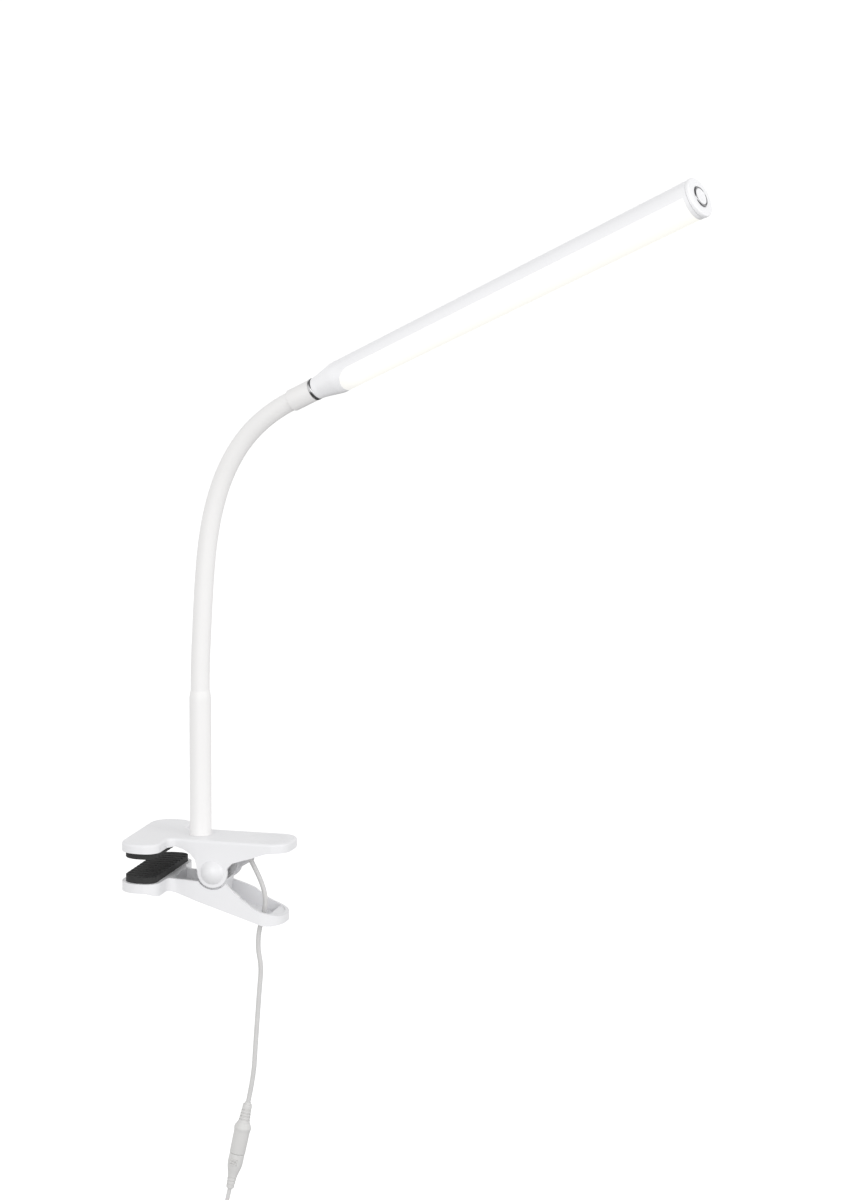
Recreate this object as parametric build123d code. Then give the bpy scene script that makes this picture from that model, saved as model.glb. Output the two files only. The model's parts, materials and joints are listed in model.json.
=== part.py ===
from build123d import *
import math
import os

# Clip-on reading lamp: a spring clip, a flexible neck, and an LED tube for a head.
# Millimetres and degrees. The origin lies on the upper jaw pad's gripping face,
# +X runs from the jaws to the handles, +Y across the clip along its hinge pin, +Z up.

# ---------------------------------------------------------------- driving dimensions
BOARD = 11.0                 # gap between the two pads at rest
PAD = 3.8                    # how far a pad stands out of its jaw
PAD_DEEP = 1.2               # how far it sits inside the jaw's rim
JAW_FRONT = -13.0
JAW_REAR = 12.0
JAW_HALF = 38.5
NECK_HALF = 15.0             # half width just behind the jaw
HANDLE_HALF = 16.4
WALL = 2.2
UPPER_TOP = 9.5
PLATE = 2.5                  # thickness of the upper body's top plate
UPPER_END = 86.5
UPPER_CORNER = 10.5          # rounding of the handle's end, in plan
LOWER_END = 82.0
LOWER_CORNER = 13.0
LOWER_FLOOR = 1.4
LOWER_SLOPE = 17.5           # the lower handle falls away by this angle
RIM_DEEP = 5.7               # height of the jaws' rims

PIN_X = 40.0
PIN_Z = -10.0
PIN_R = 2.0
PIN_RUN = 0.06               # running clearance of the lower ears on the pin
EAR_R = 9.3                  # outer ears, on the upper body
EAR_GAP = 1.3                # clearance between an outer ear and the lower wall's hollow
INNER_EAR_R = 7.5
INNER_EAR = (11.4, 13.7)     # inner ears, on the lower body, from and to
CAP_R = 7.3
CAP_RISE = 3.6

COIL_R = 4.8                 # torsion spring, mean radius
COIL_WIRE = 1.5
COIL_TURNS = 7
COIL_PITCH = 1.75

TUBE_X = 27.8
TUBE_R = 6.55                # rigid tube that carries the neck
TUBE_BORE = 5.2
TUBE_SHOULDER = 93.8         # height where its top starts to taper
TUBE_TOP = 98.0
STUB_R = 5.0                 # threaded stub through the top plate
STUB_BORE = 3.5
STUB_END = 1.0

ARM_TURN = 14.0              # the neck bends in a plane turned this far from the clip
SLEEVE_R = 5.7
SLEEVE_BORE = 4.75
SECTION = 25.06              # length of each of the neck's sections
SECTION_TURNS = (3.0, 0.4, 1.8, 6.0, 9.6, 13.5, 16.2, 13.5)
LATERAL_SECTIONS = (3, 6)    # these two bend sideways, the others in the neck's plane
LINK_R = 3.8
LINK_BORE = 2.4
LINK_GAP = 1.6               # from a bend's middle to the end of a link

FERRULE = 16.6               # distances along the head's axis, from the end of the neck
RING = 18.9
CONE_END = 37.2
HEAD_END = 287.0
CAP_FACE = 289.8
FERRULE_R = 6.6
HEAD_R_REAR = 9.6
HEAD_R_END = 11.55
SHELL_WALL = 1.7
WINDOW_START = 38.6          # the diffuser's window
WINDOW_END = 284.4
WINDOW_CORNER = 10.3         # rounding of its rear corners
SPLIT = 1.9                  # height of the window's edge above the head's axis
LED_COUNT = 29
LED_PITCH = 7.8
BOARD_START = 46.0
BUTTON_R = 4.9
BUTTON_RING_R = 6.2
BUTTON_TRAVEL = 0.8

LEAD = 2.9                   # lamp's own lead
ADAPTER_LEAD = 2.5
JACK_TILT = 12.1             # the hanging plug pair leans this far from plumb
SHOULDER = 16.3              # distances along the plug pair
JACK_END = 33.1
PLUG_TAPER = 47.0
PLUG_END = 56.3

COIL_LAYERS = 4
COIL_MIDDLE = 13.5           # mean radius of the put-away coil of the adapter's lead
COIL_STEP = 2.55
COIL_CENTRE = (22.8, 0.0, -246.0)

ADAPTER = (36.0, 26.0, 48.0)
ADAPTER_AT = (42.0, 3.8, -310.0)
MAINS_PIN_R = 2.0

# routes of the two free leads
LAMP_ROUTE = [
    (59.3, 0, -4.5), (63.0, 0, -11.3), (66.3, 0, -18.4), (68.7, 0, -26.5), (67.9, 0, -36),
    (64.4, 0, -47), (63.6, 0, -59), (65.9, 0, -70), (64.6, 0, -84), (63.4, 0, -101), (62.0, 0, -120),
    (60.84, 0, -139), (57.3, 0, -155.5),
]

PARTS = {}


def keep(name, shape):
    """Names a finished sub-part."""
    PARTS[name] = shape
    return shape


# ---------------------------------------------------------------- helpers
def side_profile(points):
    """A face in the XZ plane, from (x, z) pairs."""
    return make_face(Polyline(*[(x, 0, z) for x, z in points], close=True))


def across(face, low, high):
    """A face of the XZ plane, extruded from Y = low to Y = high."""
    return Pos(0, low, 0) * extrude(face, amount=high - low, dir=(0, 1, 0))


def disc_y(x, z, radius, low, high):
    """A cylinder along Y."""
    return Pos(x, (low + high) / 2, z) * Rot(90, 0, 0) * Cylinder(radius, high - low)


def near(items, *spots, reach=0.6):
    """The vertices within reach of the (x, y) spots, on either side of the X axis."""
    return [v for v in items
            if any(math.hypot(v.X - x, abs(v.Y) - y) < reach for x, y in spots)]


def tube_along(path, outer, bore=0.0):
    """A round bar or tube that follows a path."""
    start = Plane(origin=path @ 0, z_dir=path % 0)
    bar = sweep(start * Circle(outer), path=path)
    if bore:
        bar -= sweep(start * Circle(bore), path=path)
    return bar


def cord(name, points, diameter):
    """A cord's tube: straight runs joined by arcs as large as the runs allow."""
    spots = [Vector(*p) for p in points]
    runs = [b - a for a, b in zip(spots, spots[1:])]
    radii = []
    for a, b in zip(runs, runs[1:]):
        turn = math.radians(a.get_angle(b))
        radii.append(0.45 * min(a.length, b.length) / math.tan(turn / 2))
    path = FilletPolyline(*spots, radius=radii)
    shape = tube_along(path, diameter / 2)
    share = shape.volume / (math.pi * diameter ** 2 / 4 * path.length)
    print(name, "length", round(path.length, 1), "volume share", round(share, 4))
    print("  radii", [round(r) for r in radii])
    return shape


# ---------------------------------------------------------------- plan of the two bodies
def jaw_plan(inset):
    """Outline of a jaw paddle, pulled in by inset."""
    jaw = Rectangle(JAW_REAR - JAW_FRONT, 2 * JAW_HALF)
    jaw = Pos((JAW_REAR + JAW_FRONT) / 2, 0) * jaw
    jaw = fillet(near(jaw.vertices(), (JAW_FRONT, JAW_HALF)), 13.0)
    jaw = fillet(near(jaw.vertices(), (JAW_REAR, JAW_HALF)), 9.0)
    return offset(jaw, -inset) if inset else jaw


def plan(end, corner, inset):
    """Outline of a clip body that ends at X = end in rounded corners, pulled in by inset."""
    neck_end = 20.0
    handle_start = 30.0
    half = [(0, 0), (0, NECK_HALF), (neck_end, NECK_HALF), (handle_start, HANDLE_HALF),
            (end - 2.0, HANDLE_HALF)]
    upper = Polyline(*half)
    lower = mirror(upper, Plane.XZ)
    bow = ThreePointArc((end - 2.0, HANDLE_HALF), (end, 0), (end - 2.0, -HANDLE_HALF))
    handle = make_face(upper.edges() + lower.edges() + bow.edges())
    handle = fillet(near(handle.vertices(), (end - 2.0, HANDLE_HALF)), corner)
    whole = handle + jaw_plan(0)
    whole = fillet(near(whole.vertices(), (JAW_REAR, NECK_HALF)), 5.0)
    return offset(whole, -inset) if inset else whole


# ---------------------------------------------------------------- upper body of the clip
def upper_body():
    rim = UPPER_TOP - RIM_DEEP
    skirt = side_profile([
        (JAW_FRONT - 1, UPPER_TOP), (JAW_FRONT - 1, rim), (JAW_REAR, rim), (16.5, 4.4),
        (21.5, 2.9), (26.0, 0.6), (29.3, -3.0), (PIN_X - EAR_R, PIN_Z), (PIN_X, PIN_Z),
        (PIN_X + EAR_R - 0.6, PIN_Z + 1), (PIN_X + 9.6, -6.8), (52.4, -3.8), (58, -1.9),
        (64, -0.2), (69, 1.7), (73.5, 3.2), (80, rim), (UPPER_END + 1, rim),
        (UPPER_END + 1, UPPER_TOP),
    ])
    skirt = across(skirt, -JAW_HALF - 1, JAW_HALF + 1)
    skirt += disc_y(PIN_X, PIN_Z, EAR_R, -HANDLE_HALF, HANDLE_HALF)
    block = Pos(0, 0, -30) * extrude(plan(UPPER_END, UPPER_CORNER, 0), amount=30 + UPPER_TOP)
    body = skirt & block
    body = fillet(body.faces().sort_by(Axis.Z)[-1].edges(), 1.6)
    inside = plan(UPPER_END, UPPER_CORNER, WALL)
    body -= Pos(0, 0, -30) * extrude(inside, amount=30 + UPPER_TOP - PLATE)

    # a deck and ribs over the pad
    deck = extrude(jaw_plan(WALL - 0.2), amount=UPPER_TOP - PLATE - PAD - PAD_DEEP + 0.2)
    deck = Pos(0, 0, PAD + PAD_DEEP) * deck
    body += deck

    # web across the handle behind the hinge, with a way through for the lead, and a rib along it
    inner = HANDLE_HALF - WALL + 0.2
    web = across(side_profile([(53.9, 7.2), (53.9, -1.0), (56.2, -1.0), (56.2, 7.2)]), -inner, inner)
    web -= Pos(55, 0, 2.4) * Rot(0, 90, 0) * Cylinder(3.6, 8)
    web -= Pos(55, 0, -1.0) * Box(8, 7.2, 6.8)
    body += web
    rib = side_profile([(50.5, 7.2), (50.5, -11.0), (60.2, -5.2), (60.2, 7.2)])
    body += across(rib, 3.2, 4.8)

    # thumb recess, a shallow round dish
    dish_r = 12.6
    dish_deep = 1.6
    ball = (dish_r ** 2 + dish_deep ** 2) / (2 * dish_deep)
    body -= Pos(70.5, 0, UPPER_TOP - dish_deep + ball) * Sphere(ball)

    body -= Pos(TUBE_X, 0, UPPER_TOP) * Cylinder(STUB_R + 0.1, 12)
    body -= disc_y(PIN_X, PIN_Z, PIN_R, -20, 20)
    return body


# ---------------------------------------------------------------- lower body of the clip
def lower_bottom(x):
    """Height of the lower body's underside behind the jaw."""
    return PIN_Z - 20.65 - (x - PIN_X + 1.7) * math.tan(math.radians(LOWER_SLOPE))


def lower_body():
    rim = -BOARD - PAD
    base = rim - RIM_DEEP
    low_x = 71.5
    low = lower_bottom(low_x)
    arc_r = EAR_R + EAR_GAP
    skirt = side_profile([
        (JAW_FRONT - 1, rim), (JAW_REAR, rim), (17, -15.6), (31.4, -16), (PIN_X, -16),
        (42.8, -16), (43.6, -20.4), (51.7, -22.8), (57, -24.7), (61.7, -27.9), (65, -30.4),
        (69.4, -32.5), (74, -33.8), (LOWER_END + 1, -36.4), (LOWER_END + 1, low + 0.3),
        (76, low - 0.3), (low_x, low), (5, base), (JAW_FRONT - 1, base),
    ])
    skirt = across(skirt, -JAW_HALF - 1, JAW_HALF + 1)
    block = Pos(0, 0, -45) * extrude(plan(LOWER_END, LOWER_CORNER, 0), amount=40)
    body = skirt & block
    shoulder = side_profile([(42, -22), (44.2, -13.4), (46.4, -14.4), (51, -19.2), (57, -23.9), (57, -27)])
    body += across(shoulder, -HANDLE_HALF, -HANDLE_HALF + WALL)
    body -= disc_y(PIN_X, PIN_Z, arc_r, -HANDLE_HALF - 1, HANDLE_HALF + 1)

    # channel of the handle, open at the top and closed by a thumb rest at its end
    floor = side_profile([
        (14.5, 0), (14.5, base + LOWER_FLOOR - 1.6), (low_x, low + LOWER_FLOOR),
        (74.3, low + LOWER_FLOOR), (74.3, -34.6), (90, -38.8), (90, 0),
    ])
    inner = Pos(0, 0, -45) * extrude(plan(LOWER_END, LOWER_CORNER, WALL), amount=60)
    body -= across(floor, -30, 30) & inner

    # recess for the pad
    body -= Pos(0, 0, rim - PAD_DEEP) * extrude(jaw_plan(WALL), amount=10)

    # slot that the lead runs down through
    slot = Pos(63.7, 0) * SlotOverall(21.0, 5.4)
    body -= Pos(0, 0, -45) * extrude(slot, amount=20)

    # inner ears on the pin, standing on blocks that join the side walls
    ear = side_profile([(32.6, PIN_Z), (31, -24), (31, -26), (42.6, -31), (42, -27), (45.2, -16),
                        (47.4, PIN_Z)])
    blocks = side_profile([(28, -21), (28, -26), (42.6, -31), (42.4, -22)])
    hollow = disc_y(PIN_X, PIN_Z, arc_r, -30, 30)
    for low_y, high_y in (INNER_EAR, (-INNER_EAR[1], -INNER_EAR[0])):
        body += across(ear, low_y, high_y)
        body += disc_y(PIN_X, PIN_Z, INNER_EAR_R, low_y, high_y)
        side = math.copysign(HANDLE_HALF - WALL / 2, low_y)
        body += across(blocks, min(low_y, side), max(high_y, side)) - hollow

    # rib under the spring
    rib = side_profile([(43.0, -16.6), (44.9, -16.6), (43.4, -27), (43.2, -31.4), (41.2, -31), (41.4, -27)])
    body += across(rib, -INNER_EAR[0] - 0.2, INNER_EAR[0] + 0.2)
    body -= disc_y(PIN_X, PIN_Z, PIN_R + PIN_RUN, -20, 20)
    return body


# ---------------------------------------------------------------- pads, pin, caps and spring
def pad(face, inside):
    """A rubber pad between two heights, with grooves across its gripping face."""
    low, high = sorted((face, inside))
    body = Pos(0, 0, low) * extrude(jaw_plan(WALL + 0.1), amount=high - low)
    groove = 0.6
    for k in range(-6, 6):
        body -= Pos(-0.5, (k + 0.5) * 5.6, face) * Box(30, 1.2, 2 * groove)
    return body


def hinge_caps():
    ball = (CAP_R ** 2 + CAP_RISE ** 2) / (2 * CAP_RISE)
    dome = Pos(0, 0, CAP_RISE - ball) * Sphere(ball)
    dome &= Pos(0, 0, 5) * Cylinder(CAP_R, 10)
    dome -= Cylinder(PIN_R, 2.4)
    far = Pos(PIN_X, HANDLE_HALF, PIN_Z) * Rot(-90, 0, 0) * dome
    return Compound(children=[far, mirror(far, Plane.XZ)])


def torsion_spring():
    """Coil round the pin, with a leg against the upper plate and one on the lower floor."""
    half = COIL_TURNS * COIL_PITCH / 2
    coil = Helix(COIL_PITCH, 2 * half, COIL_R)
    wire = Circle(COIL_WIRE / 2)
    body = sweep(Plane(origin=coil @ 0, z_dir=coil % 0) * wire, path=coil, is_frenet=True)
    body = Pos(PIN_X, half, PIN_Z) * Rot(90, 0, 0) * body
    legs = (
        ((PIN_X + COIL_R, half, PIN_Z), (49.0, half, -31.9)),
        ((PIN_X + COIL_R, -half, PIN_Z), (52.0, -half, 5.9)),
    )
    for start, end in legs:
        along = (Vector(*end) - Vector(*start)).normalized()
        body += tube_along(Line(Vector(*start) - along * 0.5, end), COIL_WIRE / 2)
        body += Pos(*start) * Sphere(COIL_WIRE / 2 + 0.15)
    return body


def clip_parts():
    keep("upper_body", upper_body())
    keep("lower_body", lower_body())
    keep("upper_pad", pad(0.0, PAD + PAD_DEEP))
    keep("lower_pad", pad(-BOARD, -BOARD - PAD - PAD_DEEP))
    keep("hinge_pin", disc_y(PIN_X, PIN_Z, PIN_R, -HANDLE_HALF - 1.0, HANDLE_HALF + 1.0))
    keep("hinge_caps", hinge_caps())
    bush = disc_y(PIN_X, PIN_Z, 3.6, -11.1, 11.1) - disc_y(PIN_X, PIN_Z, PIN_R + 0.05, -12, 12)
    keep("spring_bush", bush)
    keep("torsion_spring", torsion_spring())


# ---------------------------------------------------------------- rigid tube and its fixing
def tube_parts():
    tube = Pos(0, 0, (UPPER_TOP + TUBE_SHOULDER) / 2) * Cylinder(TUBE_R, TUBE_SHOULDER - UPPER_TOP)
    taper = TUBE_TOP - TUBE_SHOULDER
    tube += Pos(0, 0, TUBE_SHOULDER + taper / 2) * Cone(TUBE_R, SLEEVE_R + 0.15, taper)
    tube += Pos(0, 0, (STUB_END + UPPER_TOP) / 2) * Cylinder(STUB_R, UPPER_TOP - STUB_END)
    tube -= Pos(0, 0, 60) * Cylinder(TUBE_BORE, 90)
    tube -= Cylinder(STUB_BORE, 60)
    keep("lower_tube", Pos(TUBE_X, 0, 0) * tube)
    underside = UPPER_TOP - PLATE
    washer = Cylinder(7.4, 0.6) - Cylinder(STUB_R + 0.1, 2)
    keep("tube_washer", Pos(TUBE_X, 0, underside - 0.3) * washer)
    nut = extrude(RegularPolygon(7.4, 6), amount=-3.2) - Cylinder(STUB_R, 10)
    keep("tube_nut", Pos(TUBE_X, 0, underside - 0.6) * nut)


# ---------------------------------------------------------------- neck
def arm_state(s, z, tilt):
    """Frame on the neck's centre line: +Z along it, +X away from the clip, +Y the bend's axis."""
    turn = math.radians(ARM_TURN)
    lean = math.radians(tilt)
    ahead = Vector(math.cos(turn), -math.sin(turn), 0)
    up = Vector(0, 0, 1)
    origin = Vector(TUBE_X, 0, 0) + ahead * s + up * z
    forward = ahead * math.cos(lean) - up * math.sin(lean)
    along = ahead * math.sin(lean) + up * math.cos(lean)
    return Plane(origin=origin, x_dir=forward, z_dir=along)


def step(state, length, turn):
    """Moves (s, z, tilt) along an arc of that length and turn."""
    s, z, tilt = state
    middle = math.radians(tilt + turn / 2)
    chord = length * math.sin(math.radians(turn / 2)) / math.radians(turn / 2)
    return (s + chord * math.sin(middle), z + chord * math.cos(middle), tilt + turn)


def neck_states():
    """(s, z, tilt) at each section's start, at its middle, and at the neck's end."""
    ends = [(0.0, TUBE_TOP, 0.0)]
    middles = []
    for turn in SECTION_TURNS:
        middles.append(step(ends[-1], SECTION / 2, turn / 2))
        ends.append(step(ends[-1], SECTION, turn))
    return ends, middles


def neck_arc(state, length, turn):
    """The centre line from a state, along an arc."""
    spots = [arm_state(*step(state, length * k / 2, turn * k / 2)).origin for k in (1, 2)]
    return ThreePointArc(arm_state(*state).origin, *spots)


def neck_parts():
    ends, middles = neck_states()
    count = len(SECTION_TURNS)
    for k, turn in enumerate(SECTION_TURNS):
        arc = neck_arc(ends[k], SECTION, turn)
        keep(f"neck_sleeve_{k + 1}", tube_along(arc, SLEEVE_R, SLEEVE_BORE))
        keep_axis(k, middles[k])
    half = SECTION / 2 - LINK_GAP
    for k in range(1, count):
        share = LINK_GAP / SECTION
        before = SECTION_TURNS[k - 1]
        after = SECTION_TURNS[k]
        start = step(middles[k - 1], LINK_GAP, before * share)
        first = neck_arc(start, half, before * half / SECTION)
        second = neck_arc(ends[k], half, after * half / SECTION)
        path = Wire([first.edge(), second.edge()])
        keep(f"neck_link_{k}", tube_along(path, LINK_R, LINK_BORE))

    root = neck_arc(ends[0], half, SECTION_TURNS[0] * half / SECTION)
    stem = Line((TUBE_X, 0, TUBE_TOP - 14), (TUBE_X, 0, TUBE_TOP))
    keep("neck_root_link", tube_along(Wire([stem.edge(), root.edge()]), LINK_R, LINK_BORE))
    start = step(middles[-1], LINK_GAP, SECTION_TURNS[-1] * LINK_GAP / SECTION)
    tip = neck_arc(start, half, SECTION_TURNS[-1] * half / SECTION)
    place = arm_state(*ends[-1])
    stem = Line(place.origin, place.origin + place.z_dir * 8)
    keep("neck_tip_link", tube_along(Wire([tip.edge(), stem.edge()]), LINK_R, LINK_BORE))
    collar = Pos(0, 0, TUBE_TOP - 7) * (Cylinder(TUBE_BORE, 12) - Cylinder(LINK_R, 14))
    keep("neck_collar", Pos(TUBE_X, 0, 0) * collar)
    return place


def keep_axis(k, state):
    """Prints a neck joint's place and axis for the record."""
    frame = arm_state(*state)
    axis = frame.x_dir if k + 1 in LATERAL_SECTIONS else frame.y_dir
    spot = [round(c / 1000, 6) for c in frame.origin]
    print(f"joint neck_bend_{k + 1} pos_m {spot} axis {[round(c, 6) for c in axis]}")


# ---------------------------------------------------------------- head, in the frame at the neck's end
def frustum(rear, end, low, high):
    """A round bar from height low to height high, tapered if the two radii differ."""
    bar = Cylinder(rear, high - low) if rear == end else Cone(rear, end, high - low)
    return Pos(0, 0, (low + high) / 2) * bar


def head_parts(place):
    here = place.location

    ferrule = frustum(FERRULE_R, FERRULE_R, 0, FERRULE)
    ferrule = fillet(ferrule.edges().sort_by(Axis.Z)[0], 0.5)
    ferrule -= frustum(LINK_R, LINK_R, -1, FERRULE + 1)
    keep("neck_ferrule", here * ferrule)

    ring = frustum(FERRULE_R + 0.25, FERRULE_R + 0.25, FERRULE, RING)
    ring = fillet(ring.edges(), 0.7) - Cylinder(LINK_R, 60)
    keep("chrome_ring", here * ring)

    cone = frustum(FERRULE_R + 0.1, HEAD_R_REAR, RING, CONE_END) - frustum(LINK_R, LINK_R, 0, 50)
    cone -= frustum(FERRULE_R - 1.8, HEAD_R_REAR - 1.9, RING + 4, CONE_END + 0.01)
    keep("head_cone", here * cone)

    outer = frustum(HEAD_R_REAR, HEAD_R_END, CONE_END, HEAD_END)
    inner = frustum(HEAD_R_REAR - SHELL_WALL, HEAD_R_END - SHELL_WALL, CONE_END, HEAD_END)
    wall = outer - inner
    window = Rectangle(WINDOW_END - WINDOW_START, 30)
    window = Pos((WINDOW_START + WINDOW_END) / 2, 15 - SPLIT) * window
    rear_corners = [v for v in window.vertices() if v.X < WINDOW_START + 1 and v.Y < 0]
    window = fillet(rear_corners, WINDOW_CORNER)
    profile = Plane(origin=(0, 0, 0), x_dir=(0, 0, 1), z_dir=(0, 1, 0)) * window
    cutter = extrude(profile, amount=30, both=True)
    keep("head_shell", here * (wall - cutter))
    keep("diffuser", here * (wall & cutter))

    carrier_end = BOARD_START + LED_COUNT * LED_PITCH
    length = carrier_end - BOARD_START
    middle = (BOARD_START + carrier_end) / 2
    carrier = Pos(-4.6, 0, middle) * Box(1.2, 11.6, length)
    for side in (-1, 1):
        carrier += Pos(-3.4, side * 5.3, middle) * Box(3.4, 1.0, length)
    keep("led_carrier", here * carrier)
    keep("led_board", here * Pos(-3.5, 0, middle) * Box(1.0, 9.4, length))
    chips = []
    for k in range(LED_COUNT):
        chip = Pos(-2.6, 0, BOARD_START + (k + 0.5) * LED_PITCH) * Box(0.8, 2.8, 3.5)
        chips.append(here * chip)
    keep("leds", Compound(children=chips))
    lead = frustum(1.2, 1.2, 6, BOARD_START - 2)
    keep("head_wire", here * lead)

    spigot = HEAD_R_END - SHELL_WALL - 0.35
    cap = frustum(HEAD_R_END + 0.2, HEAD_R_END + 0.2, HEAD_END, CAP_FACE)
    cap = fillet(cap.edges().sort_by(Axis.Z)[-1], 1.5)
    cap += frustum(spigot, spigot, HEAD_END - 7, HEAD_END) - frustum(spigot - 1.6, spigot - 1.6, 0, HEAD_END)
    cap -= frustum(BUTTON_RING_R, BUTTON_RING_R, CAP_FACE - 1.2, CAP_FACE + 1)
    cap -= frustum(BUTTON_R - 1.0, BUTTON_R - 1.0, HEAD_END - 1, CAP_FACE)
    keep("end_cap", here * cap)
    trim = frustum(BUTTON_RING_R, BUTTON_RING_R, CAP_FACE - 1.2, CAP_FACE + 0.5)
    trim = chamfer(trim.edges().sort_by(Axis.Z)[-1], 0.3)
    trim -= frustum(BUTTON_R + 0.15, BUTTON_R + 0.15, HEAD_END, CAP_FACE + 2)
    keep("button_ring", here * trim)
    stem_end = HEAD_END - 3
    button = frustum(BUTTON_R - 1.3, BUTTON_R - 1.3, stem_end, CAP_FACE)
    crown = frustum(BUTTON_R, BUTTON_R, CAP_FACE - 1.2 + BUTTON_TRAVEL + 0.1, CAP_FACE + 0.8)
    button += fillet(crown.edges().sort_by(Axis.Z)[-1], 0.4)
    keep("button", here * button)
    switch = Pos(0, 0, HEAD_END - 6.6) * Box(6.2, 6.2, 3.4)
    switch += frustum(1.7, 1.7, HEAD_END - 5, stem_end - BUTTON_TRAVEL - 0.1)
    keep("switch", here * switch)
    board = frustum(spigot - 1.7, spigot - 1.7, HEAD_END - 9.5, HEAD_END - 8.3)
    keep("switch_board", here * board)
    axis = place.z_dir * -1
    spot = [round(c / 1000, 6) for c in (place.origin + place.z_dir * CAP_FACE)]
    print("button at", spot, "slides along", [round(c, 6) for c in axis])


# ---------------------------------------------------------------- leads, plug pair and adapter
def exit_direction():
    """Direction in which the lamp's lead leaves the clip."""
    return (Vector(*LAMP_ROUTE[1]) - Vector(*LAMP_ROUTE[0])).normalized()


def inner_lead():
    """The lead inside the clip, from the rigid tube to the relief under the handle."""
    exit_point = Vector(*LAMP_ROUTE[0])
    crown = exit_point + exit_direction() * -9.0
    corners = [(TUBE_X, 60), (TUBE_X, -1.5), (42, -1.5), (49, crown.Z)]
    corners = [Vector(x, 0, z) for x, z in corners] + [crown, exit_point]
    path = FilletPolyline(*corners, radius=[6, 8, 5, 5])
    keep("inner_lead", tube_along(path, LEAD / 2))


def lead_relief():
    """Tapered sleeve on the lead's last stretch under the handle."""
    frame = Plane(origin=Vector(*LAMP_ROUTE[0]), z_dir=exit_direction() * -1)
    sleeve = Pos(0, 0, 2.1) * Cone(LEAD / 2 + 0.5, LEAD / 2 + 1.5, 4.2) - Cylinder(LEAD / 2, 20)
    keep("lead_relief", frame.location * sleeve)


def plug_pair():
    """In-line socket and plug, hanging from the lamp's lead."""
    lean = math.radians(JACK_TILT)
    down = Vector(-math.sin(lean), 0, -math.cos(lean))
    frame = Plane(origin=Vector(*LAMP_ROUTE[-1]), x_dir=(0, 1, 0), z_dir=down)
    here = frame.location

    boot = frustum(2.8, 3.6, 1.2, 13) + frustum(1.9, 1.9, 0, 1.2)
    for k in range(4):
        boot -= frustum(6, 6, 4.4 + 2.1 * k, 5.3 + 2.1 * k) - frustum(2.5 + 0.12 * k, 2.5 + 0.12 * k, 0, 13)
    jack = frustum(3.6, 5.35, 13, SHOULDER) + frustum(5.35, 4.75, SHOULDER, SHOULDER + 2.4)
    jack += frustum(4.75, 4.75, SHOULDER + 2.4, JACK_END)
    jack -= frustum(3.2, 3.2, 22, JACK_END + 1)
    keep("jack_boot", here * boot)
    keep("jack_body", here * jack)
    pin = frustum(1.0, 1.0, 22, 31.6)
    keep("jack_pin", here * pin)

    plug = frustum(4.75, 4.75, JACK_END + 0.2, 41) + frustum(4.75, 3.1, 41, PLUG_TAPER)
    plug += frustum(2.6, 2.2, PLUG_TAPER, PLUG_END)
    for k in range(3):
        plug -= frustum(6, 6, 37 + 1.4 * k, 37.6 + 1.4 * k) - frustum(4.3, 4.3, 30, 45)
    for k in range(3):
        plug -= frustum(6, 6, 49 + 2.1 * k, 50 + 2.1 * k) - frustum(1.9, 1.9, 40, 60)
    keep("plug_body", here * plug)
    tip = frustum(2.75, 2.75, 23, JACK_END + 0.2) - frustum(1.25, 1.25, 20, 32.4)
    keep("plug_tip", here * tip)
    return frame.origin + frame.z_dir * PLUG_END, frame.z_dir


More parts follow.
